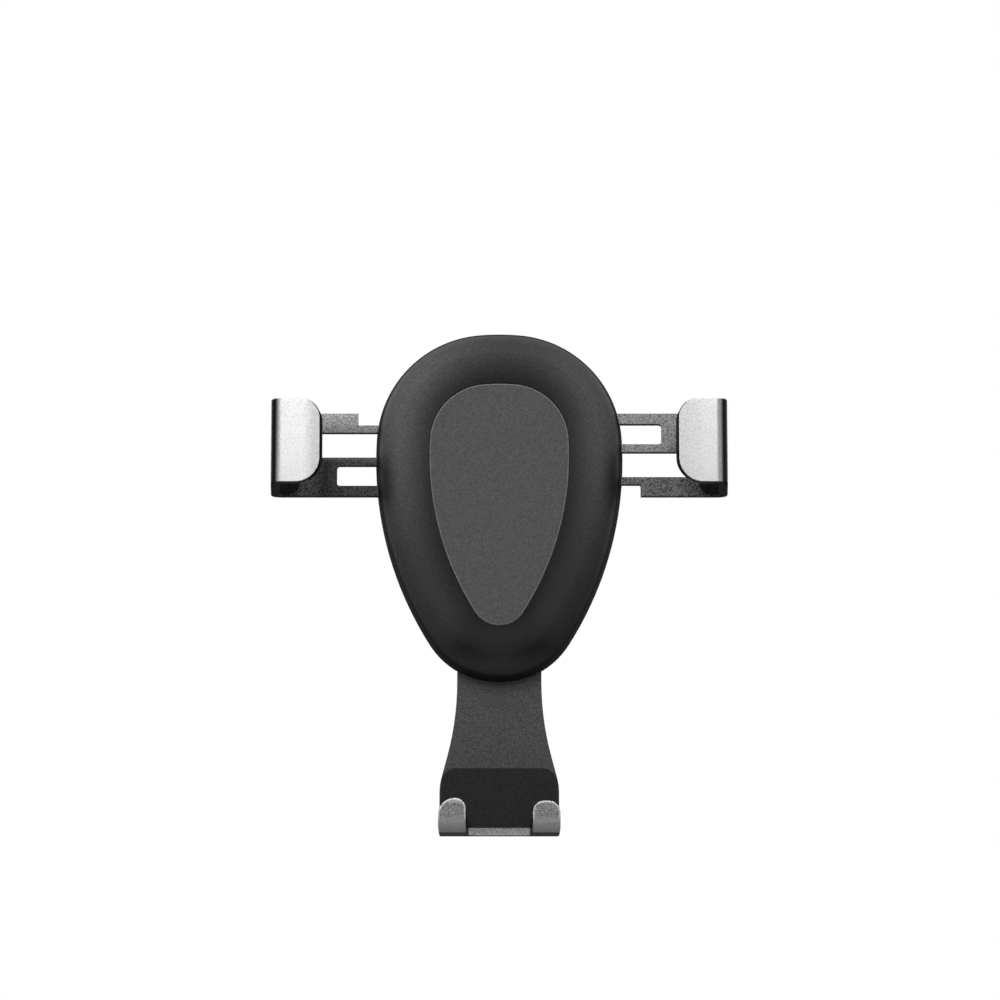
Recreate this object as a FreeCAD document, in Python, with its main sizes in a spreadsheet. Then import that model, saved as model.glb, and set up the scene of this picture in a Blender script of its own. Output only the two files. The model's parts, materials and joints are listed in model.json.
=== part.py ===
import FreeCAD, Part
import math
import os
import re
import Sketcher
from FreeCAD import Vector

# A gravity phone holder. Millimetres, X to the right, Y to the rear, Z up.
# The origin is the middle of the vent clip's closed jaws. Depths are measured rearwards
# from the crest of the egg-shaped ring, the plane in which a phone's back rests.

os.makedirs("parts", exist_ok=True)
doc = FreeCAD.newDocument("phone_holder")
sheet = doc.addObject("Spreadsheet::Sheet", "sizes")

SIZES = [
    # the egg-shaped body
    ("body_top", 36.35, "body top above the ball axis"),
    ("body_bottom", 37.3, "body bottom below the ball axis"),
    ("body_width", 51.8, "widest part of the body"),
    ("top_radius", 51.2, "top arc of the egg"),
    ("shoulder_radius", 23.5, "shoulder arcs of the egg"),
    ("flank_radius", 72.7, "flank arcs of the egg"),
    ("bottom_radius", 17.25, "bottom arc of the egg"),
    ("rim_width", 11.2, "outline to the edge of the insert"),
    ("crest_inset", 5.2, "outline to the crest of the ring"),
    ("crest_radius", 4.9, "outer side of the ring's crest"),
    ("insert_depth", 1.7, "crest to the face of the insert"),
    ("insert_thickness", 1.5, "insert sheet"),
    ("floor_thickness", 1.5, "front shell's floor under the insert"),
    ("wall", 1.6, "shell and cover walls"),
    ("parting_depth", 8.1, "joint between front shell and rear cover"),
    ("cover_round", 4.1, "round of the rear cover's edge"),
    ("fit_gap", 0.3, "gap between sliding pieces"),
    ("edge_gap", 0.1, "gap round the insert"),
    # the arms
    ("sheet_metal", 1.75, "thickness of arms and foot"),
    ("arm_depth", 5.0, "crest to the front face of the slats"),
    ("arm_centre", 10.42, "middle height of the arms"),
    ("arm_height", 17.65, "height of the arms"),
    ("arm_reach", 46.88, "centre to the outer face of the arm's wall at the lip"),
    ("wall_lean", 0.051, "outward lean of the arm's wall towards the rear, per length"),
    ("lip_front", 12.5, "lip face in front of the crest"),
    ("lip_width", 10.15, "lip, outer face of the wall to free edge"),
    ("bend_outer", 2.3, "outer radius of the arm's bends"),
    ("lip_round_top", 4.2, "upper corner of the lip"),
    ("lip_round_bottom", 5.2, "lower corner of the lip"),
    ("slat_outer_in", 6.55, "inner edge of the outermost slat"),
    ("slat_mid_in", 0.55, "inner edge of the middle slat"),
    ("slat_mid_out", 2.3, "outer edge of the middle slat"),
    ("slat_far_in", 4.7, "inner edge of the far slat"),
    ("slat_far_out", 6.3, "outer edge of the far slat"),
    ("window_end", 34.0, "closed end of the near window"),
    ("window_end_far", 40.0, "closed end of the window under the lip"),
    ("step_end", 29.6, "step below the far slat"),
    ("window_round", 0.6, "corners of the windows"),
    ("travel", 14.0, "slide of each arm and of the foot"),
    ("pin_inset", 7.9, "body's side to the cam pins with the arms open"),
    ("pin_offset", 2.45, "cam pins off the arms' middle height"),
    ("pin_radius", 1.0, "cam pin shank"),
    ("pin_head_radius", 1.8, "cam pin head"),
    ("pin_gap", 0.06, "pin to the side of its slot"),
    ("boss_radius", 1.9, "eye of the slat round the pin"),
    ("liner", 1.0, "rubber behind the lips"),
    ("liner_show", 0.3, "rubber past the lip's free edge"),
    ("liner_block", 4.5, "rubber on the arm's back plate"),
    ("liner_block_width", 4.4, "width of that rubber"),
    # the foot
    ("foot_bottom", 69.47, "underside of the tray below the ball axis"),
    ("foot_bend", 3.0, "outer radius of the tray's bends"),
    ("stem_half", 8.77, "half width of the stem"),
    ("tray_half", 12.4, "half width of the tray"),
    ("flare_top", 45.2, "where the stem's sides turn outwards"),
    ("flare_bottom", 58.7, "where they turn down again along the tray"),
    ("head_margin", 2.6, "cam pins to the side of the cam plate"),
    ("head_top", 32.2, "top of the cam plate"),
    ("hook_top", 63.2, "left hook's top below the ball axis"),
    ("hook_drop", 0.55, "right hook lower than the left one"),
    ("notch_half", 6.85, "half width of the cable notch"),
    ("notch_depth", 5.5, "crest to the closed end of the notch"),
    ("foot_pad_top", 55.9, "top of the foot's rubber"),
    ("foot_pad_half", 12.0, "half width of the foot's rubber"),
    ("foot_pad_round", 3.2, "upper corners of the foot's rubber"),
    ("foot_pad_front", 0.2, "crest to the face of the foot's rubber"),
    ("window_half", 2.5, "half width of the spring's window"),
    ("spring_radius", 2.2, "outside of the return spring"),
    ("spring_wire", 0.25, "wire radius of the springs"),
    ("spring_top", 0.5, "upper end of the return spring"),
    ("spring_length", 20.0, "return spring with the foot up"),
    # the ball joint
    ("ball_radius", 8.5, "ball"),
    ("ball_gap", 0.06, "ball to its seat and ring"),
    ("joint_outer", 9.62, "outside of the seat and the collet ring"),
    ("cup_radius", 9.7, "inside of the cup and the nut"),
    ("cup_gap", 0.1, "rear of the body to the inside of the cup"),
    ("tube_radius", 10.9, "outside of the cup's tube"),
    ("nut_radius", 12.6, "outside of the ring nut"),
    ("nut_rear", 5.5, "ball centre to the rear of the nut"),
    ("swing_room", 6.0, "rear of the nut to the clip's block"),
    ("neck_radius", 4.0, "neck of the ball"),
    # the vent clip
    ("clip_front", 13.5, "jaw centre to the front of the clip's block"),
    ("clip_block", 4.0, "thickness of the clip's block"),
    ("clip_half", 6.8, "half width of the clip"),
    ("lever_half", 4.6, "half width of the lever"),
    ("jaw_reach", 8.0, "jaw centre to the tips of the jaws"),
    ("jaw_pad", 1.0, "thickness of the jaw rubber"),
    ("jaw_gap", 0.5, "gap between the closed jaw rubbers"),
    ("hinge_back", 6.5, "jaw centre to the hinge, forwards"),
    ("hinge_drop", 3.3, "jaw centre to the hinge, down"),
    ("hinge_radius", 1.0, "hinge pin"),
    ("hinge_gap", 0.05, "lever on its pin"),
    ("tail_drop", 15.0, "lower end of the press tails"),
    # the housing screws
    ("screw_low_in", 10.4, "lower screws from the body's side"),
    ("screw_low_up", 20.3, "lower screws above the body's bottom"),
    ("screw_top_in", 11.4, "upper screws from the body's side"),
    ("screw_top_down", 9.35, "upper screws below the body's top"),
    ("screw_radius", 0.9, "screw shank"),
    ("screw_head", 1.8, "screw head"),
]
for row, (alias, value, note) in enumerate(SIZES, 1):
    sheet.set(f"A{row}", note)
    sheet.set(f"B{row}", str(value))
    sheet.setAlias(f"B{row}", alias)
doc.recompute()
ALIASES = {alias for alias, value, note in SIZES}

# Sizes that follow from others: the stem runs behind the arms, the ball stands behind the
# body, the jaws behind the ball, and the pins and the cam plate keep to the body's side.
FOLLOWING = {
    "crest_depth": "(ball_depth + nut_rear + swing_room + clip_front)",
    "ball_depth": "(parting_depth + cover_round + cup_radius + cup_gap)",
    "stem_depth": "(arm_depth + sheet_metal + fit_gap)",
    "head_half": "(pin_reach + head_margin)",
    "pin_reach": "(body_width / 2 - pin_inset)",
}


def bound(text):
    # the text with every size's name made a reference into the sheet
    for name, formula in FOLLOWING.items():
        text = re.sub(rf"\b{name}\b", formula, text)
    return re.sub(r"[a-z_]+", lambda m: "sizes." + m.group() if m.group() in ALIASES else m.group(), text)


def num(text):
    result = sheet.evalExpression(bound(text))
    return float(getattr(result, "Value", result))


def back(depth):
    # the Y coordinate of a depth behind the crest
    return f"({depth}) - crest_depth"


def bind(item, prop, text):
    item.setExpression(prop, bound(text))


def new_body(label):
    item = doc.addObject("PartDesign::Body", label)
    item.Label = label
    return item


def new_sketch(body, name, role, offset="0"):
    item = body.newObject("Sketcher::SketchObject", name)
    plane = next(f for f in body.Origin.OriginFeatures if f.Role == role)
    item.AttachmentSupport = [(plane, "")]
    item.MapMode = "FlatFace"
    bind(item, "AttachmentOffset.Base.z", offset)
    return item


def measure(sk, kind, args, text):
    index = sk.addConstraint(Sketcher.Constraint(kind, *args, num(text)))
    bind(sk, f"Constraints[{index}]", text)


def fix_point(sk, geo, pos, x_text, y_text):
    # one point at two coordinates, an axis where a coordinate is zero
    for kind, axis, text in (("DistanceX", -2, x_text), ("DistanceY", -1, y_text)):
        if text == "0":
            sk.addConstraint(Sketcher.Constraint("PointOnObject", geo, pos, axis))
        else:
            measure(sk, kind, (-1, 1, geo, pos), text)


def outline(sk, corners):
    # a closed loop through corners (x, y) or (x, y, radius)
    points = [Vector(num(c[0]), num(c[1]), 0) for c in corners]
    radii = [num(c[2]) if len(c) > 2 else 0.0 for c in corners]
    count = len(points)
    entry = list(points)
    leave = list(points)
    arcs = [None] * count
    for i, p in enumerate(points):
        if not radii[i]:
            continue
        before = (points[i - 1] - p).normalize()
        after = (points[(i + 1) % count] - p).normalize()
        half = before.getAngle(after) / 2
        entry[i] = p + before * (radii[i] / math.tan(half))
        leave[i] = p + after * (radii[i] / math.tan(half))
        centre = p + (before + after).normalize() * (radii[i] / math.sin(half))
        left_turn = before.cross(after).z < 0
        first, last = (entry[i], leave[i]) if left_turn else (leave[i], entry[i])
        angles = [math.atan2((q - centre).y, (q - centre).x) for q in (first, last)]
        if angles[1] < angles[0]:
            angles[1] += 2 * math.pi
        curve = Part.ArcOfCircle(Part.Circle(centre, Vector(0, 0, 1), radii[i]), angles[0], angles[1])
        arcs[i] = (sk.addGeometry(curve), left_turn)
    lines = []
    for i in range(count):
        lines.append(sk.addGeometry(Part.LineSegment(leave[i], entry[(i + 1) % count])))
    for i, corner in enumerate(corners):
        into, out_of = lines[i - 1], lines[i]
        if arcs[i] is None:
            sk.addConstraint(Sketcher.Constraint("Coincident", into, 2, out_of, 1))
            fix_point(sk, out_of, 1, corner[0], corner[1])
            continue
        arc, left_turn = arcs[i]
        near, far = (1, 2) if left_turn else (2, 1)
        sk.addConstraint(Sketcher.Constraint("Tangent", into, 2, arc, near))
        sk.addConstraint(Sketcher.Constraint("Tangent", arc, far, out_of, 1))
        tip = sk.addGeometry(Part.Point(points[i]), True)
        sk.addConstraint(Sketcher.Constraint("PointOnObject", tip, 1, into))
        sk.addConstraint(Sketcher.Constraint("PointOnObject", tip, 1, out_of))
        fix_point(sk, tip, 1, corner[0], corner[1])
        measure(sk, "Radius", (arc,), corner[2])


def circle(sk, x_text, y_text, radius_text):
    centre = Vector(num(x_text), num(y_text), 0)
    geo = sk.addGeometry(Part.Circle(centre, Vector(0, 0, 1), num(radius_text)))
    fix_point(sk, geo, 3, x_text, y_text)
    measure(sk, "Radius", (geo,), radius_text)


def rectangle(sk, left, right, low, high, radius=None):
    corners = [(left, low), (right, low), (right, high), (left, high)]
    outline(sk, [c + (radius,) if radius else c for c in corners])


def slot(sk, start, end, radius):
    # a straight slot with round ends between two centres
    a = Vector(num(start[0]), num(start[1]), 0)
    b = Vector(num(end[0]), num(end[1]), 0)
    r = num(radius)
    along = (b - a).normalize()
    side = Vector(-along.y, along.x, 0) * r
    heading = math.atan2(along.y, along.x)
    up = Vector(0, 0, 1)
    arc_b = sk.addGeometry(Part.ArcOfCircle(Part.Circle(b, up, r), heading - math.pi / 2, heading + math.pi / 2))
    arc_a = sk.addGeometry(Part.ArcOfCircle(Part.Circle(a, up, r), heading + math.pi / 2, heading + 1.5 * math.pi))
    line_1 = sk.addGeometry(Part.LineSegment(b + side, a + side))
    line_2 = sk.addGeometry(Part.LineSegment(a - side, b - side))
    for args in ((arc_b, 2, line_1, 1), (line_1, 2, arc_a, 1), (arc_a, 2, line_2, 1), (line_2, 2, arc_b, 1)):
        sk.addConstraint(Sketcher.Constraint("Tangent", *args))
    fix_point(sk, arc_a, 3, *start)
    fix_point(sk, arc_b, 3, *end)
    measure(sk, "Radius", (arc_a,), radius)
    sk.addConstraint(Sketcher.Constraint("Equal", arc_a, arc_b))


def egg(sk, inset="0"):
    # eight tangent arcs: top, shoulders, flanks and bottom, moved inwards by the inset
    hw = num("body_width") / 2
    radius = {n: num(n) for n in ("top_radius", "shoulder_radius", "flank_radius", "bottom_radius")}
    top_c = Vector(0, num("body_top") - radius["top_radius"], 0)
    low_c = Vector(0, radius["bottom_radius"] - num("body_bottom"), 0)
    reach = radius["flank_radius"] - radius["bottom_radius"]
    flank_x = hw - radius["flank_radius"]
    flank_c = Vector(flank_x, low_c.y + math.sqrt(reach**2 - flank_x**2), 0)
    near = radius["top_radius"] - radius["shoulder_radius"]
    far = radius["flank_radius"] - radius["shoulder_radius"]
    apart = (flank_c - top_c).Length
    along = (near**2 - far**2 + apart**2) / (2 * apart)
    line = (flank_c - top_c) / apart
    across = Vector(-line.y, line.x, 0) * math.sqrt(near**2 - along**2)
    middle = top_c + line * along
    shoulder_c = max((middle + across, middle - across), key=lambda p: p.x)
    toward = lambda c, p: math.atan2(p.y - c.y, p.x - c.x)
    a_top, a_flank, a_low = toward(top_c, shoulder_c), toward(flank_c, shoulder_c), toward(flank_c, low_c)
    right = [
        ("top_radius", top_c, a_top, math.pi / 2),
        ("shoulder_radius", shoulder_c, a_flank, a_top),
        ("flank_radius", flank_c, a_low, a_flank),
        ("bottom_radius", low_c, -math.pi / 2, a_low),
    ]
    up = Vector(0, 0, 1)
    gap = num(inset)
    ids = []
    for name, c, start, end in right:
        ids.append(sk.addGeometry(Part.ArcOfCircle(Part.Circle(c, up, radius[name] - gap), start, end)))
    for name, c, start, end in reversed(right):
        c = Vector(-c.x, c.y, 0)
        curve = Part.ArcOfCircle(Part.Circle(c, up, radius[name] - gap), math.pi - end, math.pi - start)
        ids.append(sk.addGeometry(curve))
    top_r, shoulder_r, flank_r, low_r, low_l, flank_l, shoulder_l, top_l = ids
    joined = [
        (top_r, 1, shoulder_r, 2), (shoulder_r, 1, flank_r, 2), (flank_r, 1, low_r, 2), (low_r, 1, low_l, 2),
        (low_l, 1, flank_l, 2), (flank_l, 1, shoulder_l, 2), (shoulder_l, 1, top_l, 2), (top_l, 1, top_r, 2),
    ]
    for args in joined:
        sk.addConstraint(Sketcher.Constraint("Tangent", *args))
    names = [name for name, c, start, end in right]
    for geo, name in zip(ids, names + names[::-1]):
        measure(sk, "Radius", (geo,), f"{name} - ({inset})")
    for geo, pos in ((top_r, 3), (top_r, 2), (low_r, 3), (low_r, 1)):
        sk.addConstraint(Sketcher.Constraint("PointOnObject", geo, pos, -2))
    measure(sk, "DistanceY", (-1, 1, top_r, 3), "body_top - top_radius")
    measure(sk, "DistanceY", (-1, 1, low_r, 3), "bottom_radius - body_bottom")
    measure(sk, "DistanceX", (-1, 1, flank_r, 3), "body_width / 2 - flank_radius")
    measure(sk, "DistanceX", (-1, 1, flank_l, 3), "flank_radius - body_width / 2")


def extrude(body, sk, name, length, cut=False, both=False):
    # a pad or pocket: rearwards from a front plane, upwards from a level plane, to the right
    # from a side plane, or to both sides
    kind = "PartDesign::Pocket" if cut else "PartDesign::Pad"
    item = body.newObject(kind, name)
    item.Profile = sk
    if both:
        item.SideType = "Symmetric"
    else:
        facing_front = sk.AttachmentSupport[0][0].Role == "XZ_Plane"
        item.Reversed = facing_front != cut
    bind(item, "Length", length)
    sk.Visibility = False
    return item


def slab(body, name, draw, front, thickness, cut=False):
    # a shape drawn from the front, from one depth rearwards
    sk = new_sketch(body, name + "_sketch", "XZ_Plane", f"crest_depth - ({front})")
    draw(sk)
    return extrude(body, sk, name, thickness, cut)


def side_piece(body, name, draw, width, cut=False):
    # a shape drawn from the right, X coordinate of the sketch is Y, to both sides of the centre
    sk = new_sketch(body, name + "_sketch", "YZ_Plane")
    draw(sk)
    return extrude(body, sk, name, width, cut, both=True)


def level_piece(body, name, draw, level, height, cut=False):
    # a shape drawn from above, from one level upwards
    sk = new_sketch(body, name + "_sketch", "XY_Plane", level)
    draw(sk)
    return extrude(body, sk, name, height, cut)


def ball_shape(body, name, radius, y_text, cut=False):
    item = body.newObject("PartDesign::SubtractiveSphere" if cut else "PartDesign::AdditiveSphere", name)
    bind(item, "Radius", radius)
    plane = next(f for f in body.Origin.OriginFeatures if f.Role == "XZ_Plane")
    item.AttachmentSupport = [(plane, "")]
    item.MapMode = "FlatFace"
    bind(item, "AttachmentOffset.Base.z", f"-({y_text})")
    return item


def chosen_edges(body, test):
    return [f"Edge{i}" for i, e in enumerate(body.Shape.Edges, 1) if test(e)]


def soften(body, name, test, radius, chamfer=False):
    # rounds or bevels the edges that pass a test
    doc.recompute()
    edges = chosen_edges(body, test)
    if not edges:
        raise RuntimeError(f"{body.Label}: no edge for {name}")
    base = body.Tip
    item = body.newObject("PartDesign::Chamfer" if chamfer else "PartDesign::Fillet", name)
    item.Base = (base, edges)
    bind(item, "Size" if chamfer else "Radius", radius)
    return item


def whole_at(axis, value, tolerance=0.01):
    # true for an edge that lies in one plane across an axis
    def test(edge):
        box = edge.BoundBox
        low, high = getattr(box, axis + "Min"), getattr(box, axis + "Max")
        return abs(low - value) < tolerance and abs(high - value) < tolerance
    return test


def corner_edge(x, z):
    # true for the straight edge that runs front to rear at a place
    def test(edge):
        box = edge.BoundBox
        flat = box.XLength < 0.01 and box.ZLength < 0.01
        return flat and abs(box.XMin - x) < 0.02 and abs(box.ZMin - z) < 0.02
    return test


def ring_section(sk):
    # the wall of the ring, from the joint over the crest to the insert, and back inside
    top = "body_top"
    half_pi = math.pi / 2
    cd, ci, cr = num("crest_depth"), num("crest_inset"), num("crest_radius")
    pd, rw, idp, w = num("parting_depth"), num("rim_width"), num("insert_depth"), num("wall")
    zt = num(top)
    at = lambda depth, inset: Vector(depth - cd, zt - inset, 0)
    # the big outer arc is level with the joint and touches the crest arc
    big = (ci**2 + (pd - cr)**2 - cr**2) / (2 * (ci - cr))
    flank_run = rw - ci
    flank = (flank_run**2 + idp**2) / (2 * idp)
    crest_c, big_c, flank_c = at(cr, ci), at(pd, big), at(flank, ci)
    up = Vector(0, 0, 1)
    touch = math.atan2((crest_c - big_c).y, (crest_c - big_c).x)
    outer = sk.addGeometry(Part.ArcOfCircle(Part.Circle(big_c, up, big), half_pi, touch))
    crest = sk.addGeometry(Part.ArcOfCircle(Part.Circle(crest_c, up, cr), touch, math.pi))
    end = at(idp, rw)
    end_angle = math.atan2((end - flank_c).y, (end - flank_c).x) % (2 * math.pi)
    slope = sk.addGeometry(Part.ArcOfCircle(Part.Circle(flank_c, up, flank), math.pi, end_angle))
    leg_depth = idp + num("insert_thickness") + num("floor_thickness")
    leg = sk.addGeometry(Part.LineSegment(end, at(leg_depth, rw)))
    foot = sk.addGeometry(Part.LineSegment(at(leg_depth, rw), at(leg_depth, rw - w)))
    inner_r = flank - w
    inner_z = ci - (rw - w)
    inner_start = flank_c + Vector(-math.sqrt(inner_r**2 - inner_z**2), inner_z, 0)
    rise = sk.addGeometry(Part.LineSegment(at(leg_depth, rw - w), inner_start))
    inner_angle = math.atan2((inner_start - flank_c).y, (inner_start - flank_c).x) % (2 * math.pi)
    in_slope = sk.addGeometry(Part.ArcOfCircle(Part.Circle(flank_c, up, inner_r), math.pi, inner_angle))
    in_crest = sk.addGeometry(Part.ArcOfCircle(Part.Circle(crest_c, up, cr - w), touch, math.pi))
    in_outer = sk.addGeometry(Part.ArcOfCircle(Part.Circle(big_c, up, big - w), half_pi, touch))
    joint = sk.addGeometry(Part.LineSegment(at(pd, w), at(pd, 0)))
    add = sk.addConstraint
    constraint = Sketcher.Constraint
    add(constraint("Tangent", outer, 2, crest, 1))
    add(constraint("Tangent", crest, 2, slope, 1))
    add(constraint("Coincident", slope, 2, leg, 1))
    add(constraint("Coincident", leg, 2, foot, 1))
    add(constraint("Coincident", foot, 2, rise, 1))
    add(constraint("Coincident", rise, 2, in_slope, 2))
    add(constraint("Tangent", in_slope, 1, in_crest, 2))
    add(constraint("Tangent", in_crest, 1, in_outer, 2))
    add(constraint("Coincident", in_outer, 1, joint, 1))
    add(constraint("Coincident", joint, 2, outer, 1))
    for inside, outside in ((in_slope, slope), (in_crest, crest), (in_outer, outer)):
        add(constraint("Coincident", inside, 3, outside, 3))
    add(constraint("Vertical", joint))
    add(constraint("Horizontal", leg))
    add(constraint("Vertical", foot))
    add(constraint("Horizontal", rise))
    # the joint's radii stand square to the sweep, so the wall leaves the joint level
    add(constraint("Vertical", outer, 3, outer, 1))
    fix_point(sk, outer, 1, back("parting_depth"), "body_top")
    fix_point(sk, crest, 2, "-crest_depth", "body_top - crest_inset")
    measure(sk, "Radius", (crest,), "crest_radius")
    fix_point(sk, slope, 2, back("insert_depth"), "body_top - rim_width")
    measure(sk, "DistanceX", (-1, 1, leg, 2), back("insert_depth + insert_thickness + floor_thickness"))
    measure(sk, "DistanceY", (-1, 1, foot, 2), "body_top - rim_width + wall")
    measure(sk, "DistanceY", (-1, 1, joint, 1), "body_top - wall")


def cover_section(sk):
    # the rear cover's wall, from the joint round the rear edge to the cover's floor
    zt, cd = num("body_top"), num("crest_depth")
    pd, cr, w = num("parting_depth"), num("cover_round"), num("wall")
    at = lambda depth, inset: Vector(depth - cd, zt - inset, 0)
    up = Vector(0, 0, 1)
    centre = at(pd, cr)
    outer = sk.addGeometry(Part.ArcOfCircle(Part.Circle(centre, up, cr), 0, math.pi / 2))
    inner = sk.addGeometry(Part.ArcOfCircle(Part.Circle(centre, up, cr - w), 0, math.pi / 2))
    joint = sk.addGeometry(Part.LineSegment(at(pd, w), at(pd, 0)))
    end = sk.addGeometry(Part.LineSegment(at(pd + cr, cr), at(pd + cr - w, cr)))
    add = sk.addConstraint
    constraint = Sketcher.Constraint
    add(constraint("Coincident", joint, 1, inner, 2))
    add(constraint("Coincident", joint, 2, outer, 2))
    add(constraint("Coincident", end, 1, outer, 1))
    add(constraint("Coincident", end, 2, inner, 1))
    add(constraint("Coincident", inner, 3, outer, 3))
    add(constraint("Vertical", joint))
    add(constraint("Horizontal", end))
    add(constraint("Vertical", outer, 3, outer, 2))
    add(constraint("Horizontal", outer, 3, outer, 1))
    fix_point(sk, outer, 2, back("parting_depth"), "body_top")
    measure(sk, "Radius", (outer,), "cover_round")
    measure(sk, "Radius", (inner,), "cover_round - wall")


def swept_ring(body, section, depth):
    # a wall section carried round the egg
    path = new_sketch(body, body.Label + "_path", "XZ_Plane", f"crest_depth - ({depth})")
    egg(path)
    profile = new_sketch(body, body.Label + "_section", "YZ_Plane")
    section(profile)
    item = body.newObject("PartDesign::AdditivePipe", body.Label + "_wall")
    item.Profile = profile
    item.Spine = (path, [f"Edge{i}" for i in range(1, 9)])
    path.Visibility = False
    profile.Visibility = False
    return item


def screw_places():
    for side, way in (("left", "-"), ("right", "")):
        yield f"screw_low_{side}", f"{way}(body_width / 2 - screw_low_in)", "screw_low_up - body_bottom"
        yield f"screw_top_{side}", f"{way}(body_width / 2 - screw_top_in)", "body_top - screw_top_down"


nodes = []

# Front shell: the black ring with a floor for the insert, side slots for the arms,
# an opening for the stem and four posts for the screws.
shell = new_body("front_shell")
nodes.append(shell)
swept_ring(shell, ring_section, "parting_depth")
slab(shell, "shell_floor", lambda sk: egg(sk, "rim_width - wall / 2"),
     "insert_depth + insert_thickness", "floor_thickness")
COVER_FLOOR = "parting_depth + cover_round - wall"
POST_FRONT = "wall - 0.3"
for name, x, z in screw_places():
    slab(shell, name + "_post", lambda sk: circle(sk, x, z, "screw_radius + 1.2"),
         POST_FRONT, f"parting_depth - ({POST_FRONT})")
    slab(shell, name + "_hole", lambda sk: circle(sk, x, z, "screw_radius"),
         "parting_depth - 3", "4", cut=True)
side_piece(shell, "arm_slots", lambda sk: rectangle(
    sk, back("arm_depth - fit_gap / 2"), back("arm_depth + sheet_metal + fit_gap / 2"),
    "arm_centre - arm_height / 2 - fit_gap", "arm_centre + arm_height / 2 + fit_gap"),
    "body_width + 10", cut=True)
slab(shell, "stem_opening", lambda sk: rectangle(
    sk, "-stem_half - fit_gap", "stem_half + fit_gap", "-body_bottom - 1", "-body_bottom + 6"),
    "stem_depth - fit_gap / 2", "parting_depth", cut=True)

# Insert: the flat egg-shaped plate in the ring, with a fine bevel round its face.
insert = new_body("front_insert")
nodes.append(insert)
slab(insert, "insert_plate", lambda sk: egg(sk, "rim_width + edge_gap"), "insert_depth", "insert_thickness")
soften(insert, "insert_bevel", whole_at("Y", num("insert_depth - crest_depth")), "0.3", chamfer=True)

# Rear cover: closes the shell from behind and carries the ball joint's cup.
cover = new_body("rear_cover")
nodes.append(cover)
swept_ring(cover, cover_section, "parting_depth")
slab(cover, "cover_floor", lambda sk: egg(sk, "cover_round - wall / 2"), COVER_FLOOR, "wall")
COVER_REAR = "parting_depth + cover_round"
slab(cover, "cup_foot", lambda sk: circle(sk, "0", "0", "tube_radius + 2.6"), COVER_REAR + " - 0.5", "2")
slab(cover, "cup_tube", lambda sk: circle(sk, "0", "0", "tube_radius"),
     COVER_REAR + " - 0.5", f"ball_depth + 0.5 - ({COVER_REAR} - 0.5)")
ball_shape(cover, "cup_hollow", "cup_radius", back("ball_depth"), cut=True)
slab(cover, "cup_mouth", lambda sk: circle(sk, "0", "0", "cup_radius"), "ball_depth", "5", cut=True)
slab(cover, "stem_exit", lambda sk: rectangle(
    sk, "-stem_half - fit_gap", "stem_half + fit_gap", "-body_bottom - 1", "-body_bottom + 6"),
    "parting_depth - 1", "stem_depth + sheet_metal + fit_gap / 2 - parting_depth + 1", cut=True)
slab(cover, "spring_post", lambda sk: rectangle(
    sk, "-spring_radius", "spring_radius", "spring_top - spring_length - 1.7", "spring_top - spring_length"),
    "stem_depth - fit_gap", f"{COVER_FLOOR} + 0.5 - (stem_depth - fit_gap)")
for side, way in (("left", "-"), ("right", "")):
    inner, outer = f"{way}(stem_half + fit_gap)", f"{way}(stem_half + fit_gap + 1.2)"
    low, high = (outer, inner) if way else (inner, outer)
    slab(cover, f"stem_guide_{side}", lambda sk: rectangle(
        sk, low, high, "6.2 - body_bottom", "9.8 - body_bottom"),
        "stem_depth + fit_gap", f"{COVER_FLOOR} + 0.5 - (stem_depth + fit_gap)")
for name, x, z in screw_places():
    slab(cover, name + "_post", lambda sk: circle(sk, x, z, "screw_radius + 1.2"),
         "parting_depth", f"{COVER_FLOOR} + 0.5 - parting_depth")
    slab(cover, name + "_bore", lambda sk: circle(sk, x, z, "screw_radius + 0.15"),
         "parting_depth - 1", "cover_round + 2", cut=True)
    slab(cover, name + "_recess", lambda sk: circle(sk, x, z, "screw_head + 0.15"),
         COVER_REAR + " - 0.8", "2", cut=True)

# Screws: seated in the recesses of the cover, their shanks in the shell's posts.
for name, x, z in screw_places():
    screw = new_body(name)
    nodes.append(screw)
    slab(screw, name + "_head", lambda sk: circle(sk, x, z, "screw_head"), COVER_REAR + " - 0.8", "0.8")
    slab(screw, name + "_shank", lambda sk: circle(sk, x, z, "screw_radius"),
         "parting_depth - 2.5", "cover_round + 2")
    slab(screw, name + "_cross_a", lambda sk: rectangle(
        sk, f"{x} - 0.9", f"{x} + 0.9", f"{z} - 0.2", f"{z} + 0.2"), COVER_REAR + " - 0.4", "1", cut=True)
    slab(screw, name + "_cross_b", lambda sk: rectangle(
        sk, f"{x} - 0.2", f"{x} + 0.2", f"{z} - 0.9", f"{z} + 0.9"), COVER_REAR + " - 0.4", "1", cut=True)


def wall_face(depth):
    # the outer face of an arm's leaning wall at a depth
    return f"arm_reach + wall_lean * ({depth} + lip_front)"


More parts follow.
